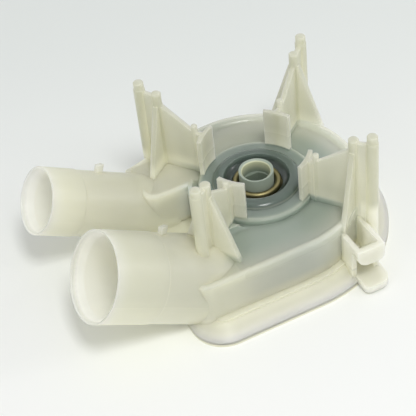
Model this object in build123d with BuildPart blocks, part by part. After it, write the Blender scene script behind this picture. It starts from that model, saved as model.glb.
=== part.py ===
from build123d import *
from math import cos, radians, sin
import os

# Drain pump with its motor side up. Millimetres, shaft axis on Z, resting plane at Z 0,
# both hose spigots towards -X.

# Heights
cover_t = 1.2
flange_edge_z = 2.4
flange_slope_z = 6.3
flange_track_z = 7.0
plate_z = 22.8
rim_z = 25.0
boss_z = 25.5
bead_z = 27.5
hub_z = 30.6

# Body plan
wall = 2.5
body_r = 43.0
inlet_reach = 5.0
outlet_reach = 0.0
channel_corner = 6.0
channel_lap = 0.4
notch_front = -17.0
notch_back = 12.4
notch_r = 28.0
rim_w = 2.0
rim_round = 1.2
rim_cove = 2.0
slope_y = 34.0
slope_drop = 6.0
slope_end_x = -17.0
slope_end_y = 41.0

# Weld flange plan
flange_w = 9.8
flange_left_w = 2.5
flange_corner = 13.5
flange_slope_w = 6.6
track_step = 0.7

# Hose spigots
spigot_tilt = 30.0
inlet_mouth_x = -80.6
inlet_mouth_z = 35.6
inlet_y = -25.1
inlet_r = 17.65
outlet_mouth_x = -83.8
outlet_mouth_z = 35.2
outlet_y = 25.4
outlet_r = 13.6
spigot_wall = 2.2
spigot_run = 60.0
inlet_grip = 22.0
outlet_grip = 15.0
root_step = 0.3
root_flare = 0.1
mouth_edge = 0.6
mouth_deep = 5.0
bore_end = 32.0
bore_taper = 1.0
bore_floor_z = 3.0
stop_w = 1.8
stop_h = 2.8
stop_l = 4.0
stop_turn = 34.0
inlet_stop = 25.5
outlet_stop = 24.6
outlet_stop_low = 17.5

# Boss and seal seat
boss_r = 23.7
bead_out_r = 18.0
bead_crest_r = 14.6
boss_edge = 0.8
funnel_top_r = 13.4
funnel_low_r = 10.3
funnel_low_z = 24.2
seal_seat_r = 13.0
seal_top_z = 22.4
seal_low_z = 18.0
seal_boss_r = 16.5

# Motor towers
tower_first = 37.8
tower_count = 4
collar_in_r = 21.4
collar_t = 1.7
collar_half = 14.5
collar_z = 43.0
rib_t = 2.0
rib_end_z = 53.0
nub_at_r = 26.0
nub_r = 1.3
nub_z = 46.5
inner_pin_at_r = 41.6
inner_pin_r = 2.0
inner_pin_z = 58.7
web_z = 57.2
outer_pin_at_r = 49.1
outer_post_r = 2.35
outer_post_z = 58.9
outer_pin_r = 2.1
outer_pin_z = 62.3
pin_tip = 0.35
gusset_foot = 12.0
gusset_top = 2.2
gusset_z = 53.0

# Clip ears
ear_x = 21.0
ear_gap = 8.0
ear_t = 2.0
ear_out = 10.0
ear_end_t = 2.0
ear_ramp = 3.4
ear_foot_in = 4.5
ear_top_z = 20.5
ear_low_z = 12.5
ear_round = 5.0
ear_round_right = 2.5
tongue_x = 22.2
tongue_w = 11.6
tongue_out = 14.3
tongue_z = 4.2
tongue_round = 2.5
tongue_round_right = 5.0

# Impeller
impeller_r = 23.0
hub_r = 7.0
drive_bore_r = 5.7
drive_bore_deep = 6.0
hub_lead = 0.7
drive_flat_deep = 16.0
drive_flats = 9.0
drive_step = 0.4
disc_z = 15.5
disc_t = 1.5
vane_z = 9.3
vane_t = 2.0
vane_count = 6
nose_z = 11.5

# Suction plate
divider_z = 7.0
divider_t = 1.5
eye_r = 11.0
baffle_x = -25.0
baffle_t = 2.0
leg_at_r = 33.0
leg_r = 2.2
divider_fit = 0.3

# Seal pieces
shell_fit = 0.1
shell_t = 0.7
shell_low_z = 18.6
neck_out_r = 9.9
neck_in_r = 7.5
neck_z = 25.9
boot_in_r = 8.6
boot_out_r = 10.4
boot_flange_r = 11.9
boot_flange_z = 19.5
carbon_in_r = 8.0
carbon_out_r = 10.3
carbon_z = 18.45
carbon_top_z = 19.1
face_film = 0.05
ceramic_out_r = 10.4
seat_t = 0.6
seat_out_r = 10.7
spring_at_r = 11.2
spring_wire_r = 0.25
spring_turns = 2
spring_fit = 0.05

plate_under_z = plate_z - wall
inlet_left = body_r + inlet_reach
outlet_left = body_r + outlet_reach
flange_r = body_r + flange_w
flange_left = inlet_left + flange_left_w
far = 4 * body_r
tilt = radians(spigot_tilt)
spigot_out = (-cos(tilt), 0, sin(tilt))
inlet_plane = Plane(origin=(inlet_mouth_x, inlet_y, inlet_mouth_z), x_dir=(0, -1, 0), z_dir=spigot_out)
outlet_plane = Plane(origin=(outlet_mouth_x, outlet_y, outlet_mouth_z), x_dir=(0, -1, 0), z_dir=spigot_out)
inlet_bore_r = inlet_r - spigot_wall
outlet_bore_r = outlet_r - spigot_wall
front_y = -body_r
rear_y = outlet_y + outlet_r + channel_lap
slope_along = Vector(slope_end_x + outlet_left, slope_end_y - slope_y, 0)
slope_down = Vector(0, rear_y - slope_y, -slope_drop)
slope_plane = Plane(
    origin=(-outlet_left, slope_y, rim_z),
    x_dir=slope_along,
    z_dir=slope_along.cross(slope_down),
)
tower_angles = [tower_first + 360 / tower_count * i for i in range(tower_count)]
disc_top_z = disc_z + disc_t
spring_rise = seal_top_z - shell_t - boot_flange_z - 2 * (spring_wire_r + spring_fit)


def radial_plane(angle):
    """Upright plane through the shaft: local x is the radius, local y is the height."""
    a = radians(angle)
    return Plane(origin=(0, 0, 0), x_dir=(cos(a), sin(a), 0), z_dir=(sin(a), -cos(a), 0))


def tangent_plane(angle, radius):
    """Upright plane across a radius: local x is the tangent, local y is the height."""
    a = radians(angle)
    centre = (radius * cos(a), radius * sin(a), 0)
    return Plane(origin=centre, x_dir=(-sin(a), cos(a), 0), z_dir=(cos(a), sin(a), 0))


def box_2d(x0, x1, y0, y1, mode=Mode.ADD):
    """Rectangle between two corners in the current sketch."""
    with Locations(((x0 + x1) / 2, (y0 + y1) / 2)):
        Rectangle(x1 - x0, y1 - y0, mode=mode)


def body_plan(inset):
    """Plan of the body: round chamber, two straight channels, a notch between them."""
    Circle(body_r - inset)
    box_2d(inset - inlet_left, 0, front_y + inset, 0)
    box_2d(inset - outlet_left, 0, 0, rear_y - inset)
    with BuildSketch(mode=Mode.PRIVATE) as notch:
        box_2d(-2 * body_r, 0, notch_front - inset, notch_back + inset)
        Circle(notch_r - inset, mode=Mode.SUBTRACT)
    add(notch.sketch, mode=Mode.SUBTRACT)
    corners = [
        (inset - inlet_left, front_y + inset),
        (inset - outlet_left, rear_y - inset),
        (inset - outlet_left, notch_back + inset),
    ]
    fillet([vertices().sort_by_distance((*c, 0))[0] for c in corners], channel_corner - inset)


def flange_plan(inset):
    """Plan of the weld flange: half circle to the right, rounded rectangle to the left."""
    r = flange_r - inset
    x = inset - flange_left
    c = flange_corner - inset
    with BuildLine() as edge:
        Line((0, -r), (x + c, -r))
        RadiusArc((x + c, -r), (x, -r + c), c)
        Line((x, -r + c), (x, r - c))
        RadiusArc((x, r - c), (x + c, r), c)
        Line((x + c, r), (0, r))
        ThreePointArc((0, r), (r, 0), (0, -r))
    make_face(edge.edges())


# Hollows of both spigots: a mouth thinned to its edge, a straight stretch, a slight taper to a flat floor
with BuildPart() as spigot_voids:
    for port, r in ((inlet_plane, inlet_bore_r), (outlet_plane, outlet_bore_r)):
        with BuildSketch(port):
            Circle(r + spigot_wall - mouth_edge)
        with BuildSketch(port.offset(-mouth_deep)):
            Circle(r)
        loft()
        with BuildSketch(port.offset(-mouth_deep)):
            Circle(r)
        extrude(amount=mouth_deep - bore_end)
        with BuildSketch(port.offset(-bore_end)):
            Circle(r)
        with BuildSketch(port.offset(-spigot_run)):
            Circle(r - bore_taper)
        loft()
    with BuildSketch(Plane.XY.offset(bore_floor_z)):
        box_2d(-far, 0, -far, far)
    extrude(amount=far, mode=Mode.INTERSECT)

# Spigot outsides: a straight grip for the hose, a slight flare to the root, and the hose stops
with BuildPart() as spigots:
    for port, r, grip, stops in (
        (inlet_plane, inlet_r, inlet_grip, ((inlet_stop, stop_turn),)),
        (outlet_plane, outlet_r, outlet_grip, ((outlet_stop, stop_turn), (outlet_stop_low, stop_turn + 180))),
    ):
        with BuildSketch(port):
            Circle(r)
        extrude(amount=-grip)
        with BuildSketch(port.offset(-grip)):
            Circle(r - root_step)
        with BuildSketch(port.offset(-spigot_run)):
            Circle(r + root_flare)
        loft()
        for back, turn in stops:
            with BuildSketch(port.offset(-back).rotated((0, 0, turn))):
                box_2d(-stop_w / 2, stop_w / 2, r - 1, r + stop_h)
            extrude(amount=-stop_l)
    with BuildSketch(Plane.XY.offset(cover_t)):
        box_2d(-far, 0, -far, far)
    extrude(amount=far, mode=Mode.INTERSECT)

# One moulding with plate, wall, flange, towers, spigots and ears
with BuildPart() as volute_casing:
    with BuildSketch(Plane.XY.offset(cover_t)):
        body_plan(0)
    extrude(amount=rim_z - cover_t)
    rim_edges = volute_casing.faces().sort_by(Axis.Z)[-1].outer_wire().edges()
    fillet(rim_edges, rim_round)
    with BuildSketch(Plane.XY.offset(plate_z)):
        body_plan(rim_w)
    extrude(amount=rim_z - plate_z, mode=Mode.SUBTRACT)
    floor = volute_casing.faces().filter_by(Plane.XY).filter_by_position(Axis.Z, plate_z, plate_z)
    fillet(floor[0].outer_wire().edges(), rim_cove)
    # Slope behind the outlet channel, down to the spigot
    with BuildSketch(slope_plane):
        Rectangle(far, far)
    extrude(amount=far, mode=Mode.SUBTRACT)
    # Boss with the bead round the seal
    with BuildSketch(Plane.XZ):
        with BuildLine():
            Polyline(
                (0, plate_under_z),
                (boss_r, plate_under_z),
                (boss_r, boss_z - boss_edge),
                (boss_r - boss_edge, boss_z),
                (bead_out_r, boss_z),
            )
            ThreePointArc(
                (bead_out_r, boss_z),
                (bead_out_r - 0.9, bead_z - 0.6),
                (bead_crest_r + 0.8, bead_z),
            )
            Polyline((bead_crest_r + 0.8, bead_z), (0, bead_z), (0, plate_under_z))
        make_face()
    revolve(axis=Axis.Z)
    # Weld flange
    with BuildSketch(Plane.XY.offset(cover_t)):
        flange_plan(0)
    extrude(amount=flange_edge_z - cover_t)
    with BuildSketch(Plane.XY.offset(flange_edge_z)):
        flange_plan(0)
    with BuildSketch(Plane.XY.offset(flange_slope_z)):
        flange_plan(flange_slope_w)
    loft()
    with BuildSketch(Plane.XY.offset(flange_slope_z)):
        flange_plan(flange_slope_w + track_step)
    extrude(amount=flange_track_z - flange_slope_z)
    add(spigots.part)
    # Towers
    for angle in tower_angles:
        with BuildSketch(Plane.XY.offset(plate_z)):
            Circle(collar_in_r + collar_t)
            Circle(collar_in_r, mode=Mode.SUBTRACT)
            with BuildLine():
                a0 = radians(angle - collar_half)
                a1 = radians(angle + collar_half)
                Polyline(
                    (0, 0),
                    (far * cos(a0), far * sin(a0)),
                    (far * cos(a1), far * sin(a1)),
                    close=True,
                )
            make_face(mode=Mode.INTERSECT)
        extrude(amount=collar_z - plate_z)
        with BuildSketch(radial_plane(angle)):
            with BuildLine():
                Polyline(
                    (collar_in_r + collar_t / 2, plate_under_z),
                    (collar_in_r + collar_t / 2, collar_z),
                    (nub_at_r, collar_z),
                    (nub_at_r + nub_r, collar_z + 1),
                    (inner_pin_at_r - inner_pin_r, rib_end_z),
                    (inner_pin_at_r, web_z),
                    (outer_pin_at_r, web_z + 1),
                    (outer_pin_at_r, flange_edge_z),
                    (body_r - wall, flange_edge_z),
                    (body_r - wall, plate_under_z),
                    close=True,
                )
            make_face()
        extrude(amount=rib_t / 2, both=True)
        with BuildSketch(tangent_plane(angle, inner_pin_at_r)):
            with BuildLine():
                Polyline(
                    (-gusset_foot, plate_under_z),
                    (gusset_foot, plate_under_z),
                    (gusset_foot, plate_z + 1),
                    (gusset_top, gusset_z),
                    (-gusset_top, gusset_z),
                    (-gusset_foot, plate_z + 1),
                    close=True,
                )
            make_face()
        extrude(amount=rib_t / 2, both=True)
        for at_r, r, low, top in (
            (nub_at_r, nub_r, plate_z, nub_z),
            (inner_pin_at_r, inner_pin_r, plate_under_z, inner_pin_z),
            (outer_pin_at_r, outer_post_r, flange_edge_z, outer_post_z + pin_tip),
            (outer_pin_at_r, outer_pin_r, outer_post_z, outer_pin_z),
        ):
            a = radians(angle)
            with BuildSketch(Plane.XY.offset(low)):
                with Locations((at_r * cos(a), at_r * sin(a))):
                    Circle(r)
            extrude(amount=top - low - pin_tip)
            with BuildSketch(Plane.XY.offset(top - pin_tip)):
                with Locations((at_r * cos(a), at_r * sin(a))):
                    Circle(r)
            extrude(amount=pin_tip, taper=40)
    # Clip ears: a pocket on the wall with a round-bottomed end plate, over a flat tongue
    for turn in (0, 180):
        ear = Plane.XY.rotated((0, 0, turn))
        half = ear_gap / 2 + ear_t
        ear_y = -body_r - ear_out
        with BuildSketch(ear.offset(flange_edge_z)):
            box_2d(ear_x - half, ear_x + half, ear_y + ear_foot_in, ear_x - body_r)
            box_2d(ear_x - half + ear_t, ear_x + half - ear_t, -far, 0, Mode.SUBTRACT)
        extrude(amount=ear_top_z - flange_edge_z)
        end = Plane(ear.from_local_coords((ear_x, ear_y, 0)), ear.x_dir, -ear.y_dir)
        with BuildSketch(end):
            box_2d(-half, half, ear_low_z, ear_top_z)
            fillet(vertices().sort_by(Axis.Y)[:2].sort_by(Axis.X)[0], ear_round)
            fillet(vertices().sort_by(Axis.Y)[:2].sort_by(Axis.X)[-1], ear_round_right)
        extrude(amount=-ear_end_t)
        with BuildSketch(Plane(ear.from_local_coords((ear_x, ear_y, 0)), ear.y_dir, ear.x_dir)):
            with BuildLine():
                Polyline(
                    (ear_end_t / 2, ear_low_z + ear_round),
                    (ear_end_t + ear_ramp, ear_low_z + ear_round),
                    (ear_end_t, ear_top_z),
                    (ear_end_t / 2, ear_top_z),
                    close=True,
                )
            make_face()
        extrude(amount=ear_gap / 2 + ear_t / 2, both=True)
        with BuildSketch(ear.offset(ear_low_z + ear_round)):
            for side in (-half, half - ear_t):
                box_2d(ear_x + side, ear_x + side + ear_t, ear_y + ear_end_t / 2, ear_y + ear_foot_in)
        extrude(amount=ear_top_z - ear_low_z - ear_round)
        with BuildSketch(ear.offset(cover_t)):
            box_2d(tongue_x - tongue_w / 2, tongue_x + tongue_w / 2, -body_r - tongue_out, -body_r)
            fillet(vertices().sort_by(Axis.Y)[:2].sort_by(Axis.X)[0], tongue_round)
            fillet(vertices().sort_by(Axis.Y)[:2].sort_by(Axis.X)[-1], tongue_round_right)
        extrude(amount=tongue_z - cover_t)
    # Hollow inside
    with BuildSketch(Plane.XY):
        body_plan(wall)
    extrude(amount=plate_under_z, mode=Mode.SUBTRACT)
    add(spigot_voids.part, mode=Mode.SUBTRACT)
    # Seal socket, open below, under a funnel round the hub
    with BuildSketch(Plane.XY.offset(seal_low_z)):
        Circle(seal_boss_r)
    extrude(amount=plate_under_z - seal_low_z)
    with BuildSketch(Plane.XY.offset(seal_low_z)):
        Circle(seal_seat_r)
    extrude(amount=seal_top_z - seal_low_z, mode=Mode.SUBTRACT)
    with BuildSketch(Plane.XZ):
        with BuildLine():
            Polyline(
                (0, seal_top_z),
                (funnel_low_r, seal_top_z),
                (funnel_low_r, funnel_low_z),
            )
            ThreePointArc(
                (funnel_low_r, funnel_low_z),
                (funnel_low_r + 0.55 * (funnel_top_r - funnel_low_r), funnel_low_z + 0.8),
                (funnel_top_r, bead_z),
            )
            Polyline((funnel_top_r, bead_z), (0, bead_z), (0, seal_top_z))
        make_face()
    revolve(axis=Axis.Z, mode=Mode.SUBTRACT)

with BuildPart() as bottom_cover:
    with BuildSketch(Plane.XY):
        flange_plan(0)
    extrude(amount=cover_t)
    with BuildSketch(Plane.XY.offset(cover_t)):
        body_plan(wall + divider_fit)
        with BuildSketch(mode=Mode.PRIVATE) as inside:
            body_plan(wall + divider_fit + 2)
        add(inside.sketch, mode=Mode.SUBTRACT)
    extrude(amount=bore_floor_z - cover_t - divider_fit)

with BuildPart() as suction_plate:
    with BuildSketch(Plane.XY.offset(divider_z)):
        body_plan(wall + divider_fit)
        box_2d(-2 * body_r, baffle_x - baffle_t / 2, -body_r, body_r, Mode.SUBTRACT)
        Circle(eye_r, mode=Mode.SUBTRACT)
    extrude(amount=divider_t)
    with BuildSketch(Plane.XY.offset(divider_z)):
        box_2d(
            baffle_x - baffle_t / 2,
            baffle_x + baffle_t / 2,
            front_y + wall + divider_fit,
            notch_front - wall - divider_fit,
        )
    extrude(amount=plate_under_z - divider_fit - divider_z)
    with BuildSketch(Plane.XY.offset(bore_floor_z)):
        box_2d(
            baffle_x - baffle_t / 2,
            baffle_x + baffle_t / 2,
            notch_back + wall + divider_fit,
            rear_y - wall - divider_fit,
        )
    extrude(amount=divider_z - bore_floor_z)
    with BuildSketch(Plane.XY.offset(cover_t)):
        with PolarLocations(leg_at_r, 3, start_angle=-60, angular_range=120, endpoint=True):
            Circle(leg_r)
    extrude(amount=divider_z - cover_t)

with BuildPart() as impeller:
    with BuildSketch(Plane.XY.offset(disc_z)):
        Circle(impeller_r)
    extrude(amount=disc_t)
    with BuildSketch(Plane.XY.offset(vane_z)):
        with PolarLocations((hub_r + impeller_r - 1.5) / 2, vane_count):
            Rectangle(impeller_r - 0.5 - hub_r + 1, vane_t)
    extrude(amount=disc_z - vane_z)
    with BuildSketch(Plane.XY.offset(nose_z)):
        Circle(hub_r)
    extrude(amount=hub_z - nose_z)
    with BuildSketch(Plane.XY.offset(hub_z - drive_bore_deep)):
        Circle(drive_bore_r)
    extrude(amount=drive_bore_deep, mode=Mode.SUBTRACT)
    with BuildSketch(Plane.XY.offset(hub_z - drive_flat_deep)):
        Circle(drive_bore_r - drive_step)
        Rectangle(2 * drive_bore_r, drive_flats, mode=Mode.INTERSECT)
    extrude(amount=drive_flat_deep, mode=Mode.SUBTRACT)
    hub_rims = impeller.edges().filter_by(GeomType.CIRCLE).group_by(Axis.Z)[-1]
    chamfer(hub_rims.sort_by(SortBy.RADIUS)[0], hub_lead)

with BuildPart() as ceramic_ring_seat:
    with BuildSketch(Plane.XY.offset(disc_top_z)):
        Circle(seat_out_r)
        Circle(hub_r, mode=Mode.SUBTRACT)
    extrude(amount=seat_t)

with BuildPart() as ceramic_ring:
    with BuildSketch(Plane.XY.offset(disc_top_z + seat_t)):
        Circle(ceramic_out_r)
        Circle(hub_r, mode=Mode.SUBTRACT)
    extrude(amount=carbon_z - face_film - disc_top_z - seat_t)

with BuildPart() as carbon_face_ring:
    with BuildSketch(Plane.XY.offset(carbon_z)):
        Circle(carbon_out_r)
        Circle(carbon_in_r, mode=Mode.SUBTRACT)
    extrude(amount=carbon_top_z - carbon_z)

with BuildPart() as seal_boot:
    with BuildSketch(Plane.XY.offset(carbon_top_z)):
        Circle(boot_flange_r)
        Circle(boot_in_r, mode=Mode.SUBTRACT)
    extrude(amount=boot_flange_z - carbon_top_z)
    with BuildSketch(Plane.XY.offset(boot_flange_z)):
        Circle(boot_out_r)
        Circle(boot_in_r, mode=Mode.SUBTRACT)
    extrude(amount=seal_top_z - shell_t - boot_flange_z)

with BuildPart() as seal_spring:
    with BuildLine(Plane.XY.offset(boot_flange_z + spring_wire_r + spring_fit)) as coil:
        Helix(spring_rise / spring_turns, spring_rise, spring_at_r)
    with BuildSketch(Plane(origin=coil.line @ 0, x_dir=(1, 0, 0), z_dir=coil.line % 0)):
        Rectangle(2 * spring_wire_r, 2 * spring_wire_r)
    sweep()

with BuildPart() as seal_shell:
    shell_r = seal_seat_r - shell_fit
    neck_mid = (neck_out_r + neck_in_r) / 2
    neck_half = (neck_out_r - neck_in_r) / 2
    with BuildSketch(Plane.XZ):
        with BuildLine():
            Polyline(
                (shell_r - shell_t, shell_low_z),
                (shell_r, shell_low_z),
                (shell_r, seal_top_z),
                (neck_out_r, seal_top_z),
                (neck_out_r, neck_z - neck_half),
            )
            ThreePointArc(
                (neck_out_r, neck_z - neck_half),
                (neck_mid, neck_z),
                (neck_in_r, neck_z - neck_half),
            )
            Polyline(
                (neck_in_r, neck_z - neck_half),
                (neck_in_r, seal_top_z - shell_t),
                (neck_in_r + shell_t, seal_top_z - shell_t),
                (neck_in_r + shell_t, neck_z - neck_half),
            )
            Polyline(
                (neck_in_r + shell_t, neck_z - neck_half),
                (neck_out_r - shell_t, neck_z - neck_half),
                (neck_out_r - shell_t, seal_top_z - shell_t),
                (shell_r - shell_t, seal_top_z - shell_t),
                (shell_r - shell_t, shell_low_z),
            )
        make_face()
    revolve(axis=Axis.Z)

os.makedirs("parts", exist_ok=True)
volute_casing.part.label = "volute_casing"
export_step(volute_casing.part, "parts/volute_casing.step")
bottom_cover.part.label = "bottom_cover"
export_step(bottom_cover.part, "parts/bottom_cover.step")
suction_plate.part.label = "suction_plate"
export_step(suction_plate.part, "parts/suction_plate.step")
seal_shell.part.label = "seal_shell"
export_step(seal_shell.part, "parts/seal_shell.step")
seal_boot.part.label = "seal_boot"
export_step(seal_boot.part, "parts/seal_boot.step")
seal_spring.part.label = "seal_spring"
export_step(seal_spring.part, "parts/seal_spring.step")
carbon_face_ring.part.label = "carbon_face_ring"
export_step(carbon_face_ring.part, "parts/carbon_face_ring.step")
impeller.part.label = "impeller"
export_step(impeller.part, "parts/impeller.step")
ceramic_ring.part.label = "ceramic_ring"
export_step(ceramic_ring.part, "parts/ceramic_ring.step")
ceramic_ring_seat.part.label = "ceramic_ring_seat"
export_step(ceramic_ring_seat.part, "parts/ceramic_ring_seat.step")
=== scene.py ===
"""Drain pump, motor side up, on a pale table under soft studio light. Metres, shaft axis on Z."""

from math import cos, radians, sin

import bpy
import numpy as np
from mathutils import Matrix, Vector

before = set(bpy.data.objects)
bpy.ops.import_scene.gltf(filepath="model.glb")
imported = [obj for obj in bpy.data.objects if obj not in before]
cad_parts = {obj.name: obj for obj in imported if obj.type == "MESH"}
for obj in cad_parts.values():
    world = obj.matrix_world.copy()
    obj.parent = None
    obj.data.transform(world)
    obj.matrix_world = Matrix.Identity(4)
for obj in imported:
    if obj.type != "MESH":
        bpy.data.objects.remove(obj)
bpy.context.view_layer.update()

# Camera
view_azimuth = radians(-21.99)
view_elevation = radians(43.13)
view_roll = radians(-6.84)
view_distance = 0.5178
view_target = Vector((-0.0201, 0.0057, 0.0151))
lens_mm = 110.4
sensor_mm = 36.0
clip_near = 0.01

# Table: its colours at the front and the rear, and where the one fades into the other along the view;
# the greyer rear is painted shade
table_half = 3.0
table_near = (0.868, 0.880, 0.866)
table_far_painted_shade = (0.757, 0.790, 0.770)
table_fade = (-0.07, 0.17)
table_roughness = 0.7

# Light: strength of the world's fill, and each lamp's place, size and power in watts
sky_fill = 0.60
soft_lamps = {
    "key_lamp": (Vector((-0.04, -0.53, 1.07)), 0.28, 5.4),
    "side_lamp": (Vector((0.70, -0.39, 0.41)), 0.22, 1.0),
    "front_lamp": (Vector((0.45, -1.00, 0.55)), 0.9, 0.3),
    "left_lamp": (Vector((-1.05, -0.35, 0.42)), 0.7, 1.6),
}

# Radii and heights of the casing and the hub that their colouring follows
body_radius = 0.0430
plate_top = 0.0228
track_top = 0.0070
tube_start = -0.0440
boss_radius = 0.0241
boss_top = 0.0264
bead_radius = 0.0184
bead_top = 0.0310
funnel_radius = 0.0136
bore_radius = 0.0060
bore_low = 0.0245
hub_top = 0.0306

# Spigots: the way they point, and the middle of each mouth with its bore radius
spigot_tilt = radians(30)
spigot_out = (-cos(spigot_tilt), 0.0, sin(spigot_tilt))
spigot_bores = (((-0.0806, -0.0251, 0.0356), 0.01545), ((-0.0838, 0.0254, 0.0352), 0.0114))

# Limits of the shades by place: 0 at the first value and 1 at the second
fades = {
    "body_side": (body_radius + 0.0010, body_radius + 0.0002),
    "body_top": (plate_top + 0.0040, plate_top + 0.0012),
    "body_foot": (track_top, track_top + 0.0030),
    "body_left": (tube_start + 0.006, tube_start + 0.024),
    "body_outlet": (0.0085, 0.0175),
    "plate_side": (body_radius + 0.0005, body_radius - 0.0140),
    "plate_face": (plate_top - 0.0015, plate_top - 0.0003),
    "plate_rear_painted_light": (0.004, 0.036),
    "wall_left": (-0.036, 0.002),
    "wall_right_painted_light": (-0.005, 0.030),
    "wall_foot": (track_top, track_top + 0.0060),
    "notch_left": (-0.0235, -0.0250),
    "notch_width": (0.0190, 0.0150),
    "inlet_half": (0.012, -0.012),
    "outlet_half": (-0.012, 0.012),
    "flange": (track_top + 0.0012, track_top - 0.0005),
    "flange_foot_painted_light": (0.0050, 0.0026),
    "under_turn": (0.30, -0.70),
    "under_left": (-0.012, -0.030),
    "mouth_wall": (0.0014, 0.0008),
    "mouth_left": (-0.048, -0.056),
    "ear_out": (body_radius + 0.0012, body_radius + 0.0022),
    "ear_up": (track_top + 0.0006, track_top + 0.0016),
    "ear_right": (0.0, 0.004),
    "tower_up": (plate_top + 0.0020, plate_top + 0.0080),
    "tower_right": (tube_start - 0.002, tube_start + 0.004),
    "boss": (boss_radius, boss_radius - 0.0030),
    "boss_top": (boss_top, boss_top - 0.0008),
    "bead": (bead_radius, bead_radius - 0.0010),
    "bead_top": (bead_top, bead_top - 0.0008),
    "funnel": (funnel_radius, funnel_radius - 0.0014),
    "shiny_up": (plate_top - 0.0030, plate_top - 0.0010),
    "shiny_centre": (boss_radius + 0.0005, boss_radius - 0.0005),
    "shiny_top": (bead_top + 0.0020, bead_top + 0.0010),
    "hub_bore": (bore_radius + 0.0002, bore_radius - 0.0002),
    "hub_depth": (bore_low, hub_top),
}

# Casing: light in the milky plastic, gloss, reach of the yellower corners' painted light, the outlet side's
# shifts, shades
milky_depth = {"Subsurface Weight": 1.0, "Subsurface Scale": 0.012, "Subsurface Radius": (1.0, 1.0, 1.0)}
milky_ior = 1.45
matt_roughness = 0.40
shiny_drop = -0.22
crease_reach = 0.010
crease_samples = 8
outlet_shift = 0.011
# outlet_lean widens the painted light on faces turned down over the outlet's half
outlet_lean = 0.6
casing_cells = 55.0
casing_shades = {
    "ivory": (0.65, 0.655, 0.51),
    "ivory_deep": (0.62, 0.62, 0.465),
    # Painted shade: a darker ivory for the inlet half, which the front lamps light more
    "ivory_front_painted_shade": (0.525, 0.53, 0.42),
    # Painted shade: a darker colour for the towers
    "tower": (0.485, 0.485, 0.37),
    # Painted light on the spigots' faces turned down
    "under": (0.86, 0.85, 0.62),
    # Painted light: the flange lighter, and its foot lighter still
    "flange": (0.68, 0.67, 0.515),
    "flange_foot_painted_light": (0.95, 0.93, 0.72),
    # Painted light inside the spigots' mouths
    "mouth": (0.97, 0.945, 0.74),
    # Painted light: corners lighter and yellower
    "crease_painted_light": (0.88, 0.86, 0.65),
    # Painted light on the ears and their pockets
    "ear": (0.78, 0.77, 0.61),
    # The notch's pale blue grey: its tone, lightened with painted light
    "notch": (0.74, 0.83, 0.86),
    "wall": (0.42, 0.445, 0.385),
    # Painted light: a lighter wall colour for the wall's right end
    "wall_right_painted_light": (0.72, 0.74, 0.61),
    "wall_low": (0.60, 0.59, 0.45),
    "plate": (0.35, 0.41, 0.35),
    "plate_deep": (0.32, 0.38, 0.32),
    # Painted light: a lighter, warmer plate colour to the rear
    "plate_rear_painted_light": (0.46, 0.48, 0.37),
    "boss": (0.25, 0.30, 0.26),
    "bead": (0.115, 0.150, 0.128),
    "funnel": (0.05, 0.07, 0.06),
}

# Hub: two near shades outside, the bore's shades at its mouth and its foot, the foot's dark one painted shade
hub_light = (0.37, 0.43, 0.36)
hub_dark = (0.33, 0.39, 0.32)
hub_mouth = (0.66, 0.68, 0.46)
hub_bore_painted_shade = (0.23, 0.28, 0.22)
hub_roughness = 0.36
hub_cells = 90.0

# Plain finishes: name, two near shades, roughness, cells per metre of the drift between them, share of metal
plain_finishes = {
    "bottom_cover": ("milky_cover", (0.76, 0.745, 0.58), (0.72, 0.705, 0.545), 0.40, 60.0, 0.0),
    "suction_plate": ("divider_plastic", (0.42, 0.43, 0.38), (0.37, 0.38, 0.33), 0.45, 60.0, 0.0),
    "seal_shell": ("drawn_brass", (0.28, 0.25, 0.12), (0.19, 0.165, 0.08), 0.42, 220.0, 1.0),
    "seal_boot": ("black_rubber", (0.020, 0.020, 0.021), (0.030, 0.030, 0.030), 0.6, 180.0, 0.0),
    "seal_spring": ("spring_wire", (0.55, 0.55, 0.56), (0.45, 0.45, 0.46), 0.3, 300.0, 1.0),
    "carbon_face_ring": ("carbon", (0.030, 0.030, 0.032), (0.045, 0.045, 0.046), 0.35, 250.0, 0.0),
    "ceramic_ring": ("ceramic", (0.78, 0.76, 0.70), (0.70, 0.68, 0.63), 0.2, 150.0, 0.0),
    "ceramic_ring_seat": ("seat_rubber", (0.022, 0.022, 0.022), (0.032, 0.032, 0.032), 0.6, 180.0, 0.0),
}

# Grain of the finishes that have some: cells per metre, strength, depth, radius of the rounded edges under it
edge_round = 0.0006
edge_samples = 6
grains = {
    "milky_casing": (420.0, 0.06, 0.0004, edge_round),
    "hub_plastic": (540.0, 0.06, 0.0003, edge_round),
    "milky_cover": (360.0, 0.10, 0.0003, 0.0),
    "drawn_brass": (1320.0, 0.05, 0.0003, 0.0),
    "table_white": (900.0, 0.03, 0.0002, 0.0),
}
cloud_detail = 3.0
grain_detail = 2.0

# Sockets of a Mix node that blends colours: its two inputs and its result
mix_first = 6
mix_second = 7
mix_result = 2


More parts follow.
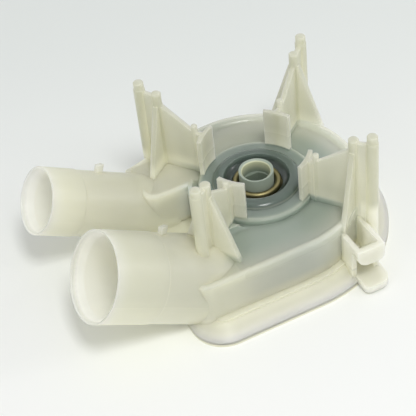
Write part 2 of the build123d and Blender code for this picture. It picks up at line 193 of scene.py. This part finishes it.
class NodeTree:
    """A node tree whose methods each add a step and return its output socket."""

    def __init__(self, tree):
        self.nodes = tree.nodes
        self.links = tree.links

    def add(self, kind, **settings):
        """A new node of a kind, with its settings."""
        node = self.nodes.new("ShaderNode" + kind)
        for setting, value in settings.items():
            setattr(node, setting, value)
        return node

    def feed(self, node, *values):
        """Give a node's inputs their values in order, each a socket to link or a constant."""
        for socket, value in zip(node.inputs, values):
            if isinstance(value, bpy.types.NodeSocket):
                self.links.new(value, socket)
            else:
                socket.default_value = value

    def math(self, operation, *values):
        """One Math node."""
        node = self.add("Math", operation=operation)
        self.feed(node, *values)
        return node.outputs["Value"]

    def vector_math(self, operation, *values):
        """One Vector Math node, as its outputs."""
        node = self.add("VectorMath", operation=operation)
        self.feed(node, *values)
        return node.outputs

    def split(self, vector):
        """The three parts of a vector."""
        node = self.add("SeparateXYZ")
        self.feed(node, vector)
        return node.outputs

    def length(self, first, second):
        """Square root of first^2 + second^2."""
        squares = [self.math("MULTIPLY", part, part) for part in (first, second)]
        return self.math("SQRT", self.math("ADD", *squares))

    def fade(self, value, ends):
        """0 at the first end, 1 at the second, smooth between."""
        node = self.add("MapRange", interpolation_type="SMOOTHSTEP")
        self.feed(node, value, *ends)
        return node.outputs["Result"]

    def zone(self, *limits):
        """Product of fades, each given as a value and the name of its limits in fades."""
        value, name = limits[0]
        share = self.fade(value, fades[name])
        for value, name in limits[1:]:
            share = self.math("MULTIPLY", share, self.fade(value, fades[name]))
        return share

    def mix(self, factor, first, second):
        """Blend from the first colour to the second, each a socket or an RGB triple."""
        node = self.add("Mix", data_type="RGBA")
        self.links.new(factor, node.inputs["Factor"])
        for index, colour in ((mix_first, first), (mix_second, second)):
            if isinstance(colour, tuple):
                node.inputs[index].default_value = (*colour, 1.0)
            else:
                self.links.new(colour, node.inputs[index])
        return node.outputs[mix_result]


class Finish(NodeTree):
    """A Principled material whose patterns lie on object coordinates."""

    def __init__(self, name, roughness):
        self.material = bpy.data.materials.new(name)
        self.material.use_nodes = True
        super().__init__(self.material.node_tree)
        self.shader = self.nodes["Principled BSDF"]
        self.shader.inputs["Roughness"].default_value = roughness
        self.place = self.add("TexCoord").outputs["Object"]
        if name in grains:
            self.grain(*grains[name])

    def paint(self, socket, value):
        """Link a value to one of the shader's inputs."""
        self.links.new(value, self.shader.inputs[socket])

    def noise(self, cells, detail):
        """Noise with a number of cells per metre."""
        node = self.add("TexNoise")
        node.inputs["Scale"].default_value = cells
        node.inputs["Detail"].default_value = detail
        self.links.new(self.place, node.inputs["Vector"])
        return node.outputs["Fac"]

    def grain(self, cells, strength, depth, rounding):
        """Fine noise relief on the shader's normal, over edges rounded to a radius."""
        node = self.add("Bump")
        node.inputs["Strength"].default_value = strength
        node.inputs["Distance"].default_value = depth
        self.links.new(self.noise(cells, grain_detail), node.inputs["Height"])
        if rounding:
            edge = self.add("Bevel", samples=edge_samples)
            edge.inputs["Radius"].default_value = rounding
            self.links.new(edge.outputs["Normal"], node.inputs["Normal"])
        self.paint("Normal", node.outputs["Normal"])

    def open_share(self, reach):
        """1 on open faces, less in corners that other faces stand close to."""
        node = self.add("AmbientOcclusion", samples=crease_samples)
        node.inputs["Distance"].default_value = reach
        return node.outputs["AO"]

    def off_spigot(self, mouth):
        """Distance from a spigot's axis: the length of (p - mouth) x spigot_out."""
        arm = self.vector_math("SUBTRACT", self.place, mouth)["Vector"]
        across = self.vector_math("CROSS_PRODUCT", arm, spigot_out)["Vector"]
        return self.vector_math("LENGTH", across)["Value"]


def spigot_painted_light(casing, shades, colour):
    """Painted light: lighter faces turned down, standing in for light from the table, and lighter mouths.

    A face turned down is one whose normal z, less outlet_lean on the outlet's half, is low. A mouth is
    what lies nearer to the spigot's axis than its bore and a little of its wall."""
    x, y, _ = casing.split(casing.place)
    upward = casing.split(casing.add("NewGeometry").outputs["Normal"])["Z"]
    lean = casing.math("MULTIPLY", casing.zone((y, "outlet_half")), outlet_lean)
    turn = casing.math("SUBTRACT", upward, lean)
    # Painted light: faces turned down on the spigots painted lighter
    colour = casing.mix(casing.zone((turn, "under_turn"), (x, "under_left")), colour, shades["under"])
    for mouth, bore in spigot_bores:
        depth = casing.math("SUBTRACT", casing.off_spigot(mouth), bore)
        # Painted light: the inside of each mouth painted near white
        colour = casing.mix(casing.zone((depth, "mouth_wall"), (x, "mouth_left")), colour, shades["mouth"])
    return colour


def free_shade(casing, shades, cloud, reach):
    """Colour of the plastic with no chamber behind it: ivory, deeper at the front as painted shade.

    Painted light: lighter flange, flange foot and ears, lighter yellower corners. Painted shade: darker
    towers."""
    x, y, z = casing.split(casing.place)
    colour = casing.mix(cloud, shades["ivory"], shades["ivory_deep"])
    # Painted shade: the inlet half painted darker
    colour = casing.mix(casing.zone((y, "inlet_half")), colour, shades["ivory_front_painted_shade"])
    # Painted light: the flange, facing up, painted lighter, and its foot lighter still
    colour = casing.mix(casing.zone((z, "flange")), colour, shades["flange"])
    colour = casing.mix(casing.zone((z, "flange_foot_painted_light")), colour, shades["flange_foot_painted_light"])
    colour = spigot_painted_light(casing, shades, colour)
    # Painted light: the ears painted lighter than the shade they stand in
    ear = casing.zone((reach, "ear_out"), (z, "ear_up"), (x, "ear_right"))
    colour = casing.mix(ear, colour, shades["ear"])
    # Painted shade: the towers painted darker, for the shade on their sides
    colour = casing.mix(casing.zone((z, "tower_up"), (x, "tower_right")), colour, shades["tower"])
    # Painted light: corners, found by ambient occlusion, painted lighter and yellower in place of their shade
    return casing.mix(casing.open_share(crease_reach), shades["crease_painted_light"], colour)


def wall_shade(casing, shades):
    """Colour of the chamber's wall: ivory darkened with painted shade at the left, then grey, lighter at the
    foot and, with painted light, lighter at the right.

    The notch between the two channels is a pale blue grey, lightened with painted light."""
    x, y, z = casing.split(casing.place)
    colour = casing.mix(casing.zone((x, "wall_left")), shades["ivory_front_painted_shade"], shades["wall"])
    # Painted light: the wall lighter towards its right end
    colour = casing.mix(casing.zone((x, "wall_right_painted_light")), colour, shades["wall_right_painted_light"])
    colour = casing.mix(casing.zone((z, "wall_foot")), shades["wall_low"], colour)
    # The notch between the channels: pale blue grey, lightened with painted light
    notch = casing.zone((x, "notch_left"), (casing.math("ABSOLUTE", y), "notch_width"))
    return casing.mix(notch, colour, shades["notch"])


def milky_plastic(name, shades):
    """Milky polypropylene whose shade follows what lies behind it.

    Free plastic is ivory. Inside the plan sqrt(max(x, 0)^2 + y^2) < body_radius the wall is greyer, the
    plate over the chamber blue grey and, with painted light, lighter and warmer at the rear, and about the
    shaft the boss, the bead and the funnel get darker inwards. The plate, its rim, the boss and the bead are
    glossier than the rest."""
    casing = Finish(name, matt_roughness)
    casing.shader.inputs["IOR"].default_value = milky_ior
    for socket, value in milky_depth.items():
        casing.shader.inputs[socket].default_value = value
    x, y, z = casing.split(casing.place)
    reach = casing.length(casing.math("MAXIMUM", x, 0.0), y)
    radius = casing.length(x, y)
    cloud = casing.noise(casing_cells, cloud_detail)
    shift = casing.math("MULTIPLY", casing.zone((y, "body_outlet")), outlet_shift)
    along = casing.math("SUBTRACT", x, shift)
    body = casing.zone((reach, "body_side"), (z, "body_top"), (z, "body_foot"), (along, "body_left"))
    colour = casing.mix(body, free_shade(casing, shades, cloud, reach), wall_shade(casing, shades))
    over = casing.mix(cloud, shades["plate"], shades["plate_deep"])
    # Painted light: the plate lighter and warmer towards the rear
    over = casing.mix(casing.zone((y, "plate_rear_painted_light")), over, shades["plate_rear_painted_light"])
    plate = casing.math("MULTIPLY", body, casing.zone((reach, "plate_side"), (z, "plate_face")))
    colour = casing.mix(plate, colour, over)
    for ring, top in (("boss", "boss_top"), ("bead", "bead_top"), ("funnel", "bead_top")):
        colour = casing.mix(casing.zone((radius, ring), (z, top)), colour, shades[ring])
    casing.paint("Base Color", colour)
    upper = casing.math("MULTIPLY", body, casing.zone((z, "shiny_up")))
    centre = casing.zone((radius, "shiny_centre"), (z, "shiny_top"))
    shiny = casing.math("MAXIMUM", upper, centre)
    casing.paint("Roughness", casing.math("MULTIPLY_ADD", shiny, shiny_drop, matt_roughness))
    return casing.material


def hub_plastic(name):
    """Pale hub whose bore, inside bore_radius, goes from yellowish at the mouth to a dark painted shade at
    its foot.
    """
    hub = Finish(name, hub_roughness)
    x, y, z = hub.split(hub.place)
    outside = hub.mix(hub.noise(hub_cells, cloud_detail), hub_light, hub_dark)
    # Painted shade: the bore darker towards its foot
    bore = hub.mix(hub.zone((z, "hub_depth")), hub_bore_painted_shade, hub_mouth)
    within = hub.zone((hub.length(x, y), "hub_bore"))
    hub.paint("Base Color", hub.mix(within, outside, bore))
    return hub.material


def plain_finish(name, light, dark, roughness, cells, metal):
    """Finish whose colour drifts between two near shades on noise."""
    finish = Finish(name, roughness)
    finish.shader.inputs["Metallic"].default_value = metal
    finish.paint("Base Color", finish.mix(finish.noise(cells, cloud_detail), light, dark))
    return finish.material


def table_white(name):
    """Near white, a little greyer to the rear as painted shade: by the place along the view, y cos(a) - x
    sin(a).
    """
    finish = Finish(name, table_roughness)
    x, y, _ = finish.split(finish.place)
    across = finish.math("MULTIPLY", x, -sin(view_azimuth))
    away = finish.math("ADD", across, finish.math("MULTIPLY", y, cos(view_azimuth)))
    finish.paint("Base Color", finish.mix(finish.fade(away, table_fade), table_near, table_far_painted_shade))
    return finish.material


def table_top():
    """Square table at Z 0, centred under the pump."""
    corners = np.array([(-1, -1, 0), (1, -1, 0), (1, 1, 0), (-1, 1, 0)]) * table_half
    mesh = bpy.data.meshes.new("table")
    mesh.from_pydata(corners.tolist(), [], [(0, 1, 2, 3)])
    mesh.materials.append(table_white("table_white"))
    table = bpy.data.objects.new("table", mesh)
    bpy.context.scene.collection.objects.link(table)
    return table


def soft_box(name, place, size, power):
    """Square area lamp at a place, aimed at the pump."""
    lamp = bpy.data.lights.new(name, "AREA")
    lamp.shape = "SQUARE"
    lamp.size = size
    lamp.energy = power
    holder = bpy.data.objects.new(name, lamp)
    holder.location = place
    holder.rotation_euler = (view_target - place).to_track_quat("-Z", "Y").to_euler()
    bpy.context.scene.collection.objects.link(holder)


def pale_sky():
    """World that is white to camera, mirror and glass rays and a soft grey fill to the rest."""
    world = bpy.data.worlds.new("pale_sky")
    world.use_nodes = True
    sky = NodeTree(world.node_tree)
    rays = sky.add("LightPath").outputs
    seen = sky.math("MAXIMUM", rays["Is Camera Ray"], rays["Is Glossy Ray"])
    seen = sky.math("MAXIMUM", seen, rays["Is Transmission Ray"])
    strength = sky.math("MULTIPLY_ADD", seen, 1.0 - sky_fill, sky_fill)
    background = sky.nodes["Background"]
    background.inputs["Color"].default_value = (1.0, 1.0, 1.0, 1.0)
    sky.links.new(strength, background.inputs["Strength"])
    bpy.context.scene.world = world


def photo_camera():
    """Camera from azimuth, elevation, roll and distance about a target."""
    level = Vector((cos(view_azimuth), sin(view_azimuth), 0.0))
    ahead = Vector((-sin(view_azimuth), cos(view_azimuth), 0.0))
    back = Vector((0.0, 0.0, sin(view_elevation))) - ahead * cos(view_elevation)
    rise = back.cross(level)
    right = level * cos(view_roll) + rise * sin(view_roll)
    up = rise * cos(view_roll) - level * sin(view_roll)
    data = bpy.data.cameras.new("camera")
    data.lens = lens_mm
    data.sensor_width = sensor_mm
    data.clip_start = clip_near
    camera = bpy.data.objects.new("camera", data)
    turn = Matrix((right, up, back)).transposed().to_4x4()
    camera.matrix_world = Matrix.Translation(view_target + back * view_distance) @ turn
    bpy.context.scene.collection.objects.link(camera)
    bpy.context.scene.camera = camera


finishes = {node: plain_finish(*finish) for node, finish in plain_finishes.items()}
finishes["volute_casing"] = milky_plastic("milky_casing", casing_shades)
finishes["impeller"] = hub_plastic("hub_plastic")
for node, finish in finishes.items():
    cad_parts[node].data.materials[0] = finish
table_top()
for lamp_name, (place, size, power) in soft_lamps.items():
    soft_box(lamp_name, place, size, power)
pale_sky()
photo_camera()
bpy.context.scene.view_settings.view_transform = "Standard"
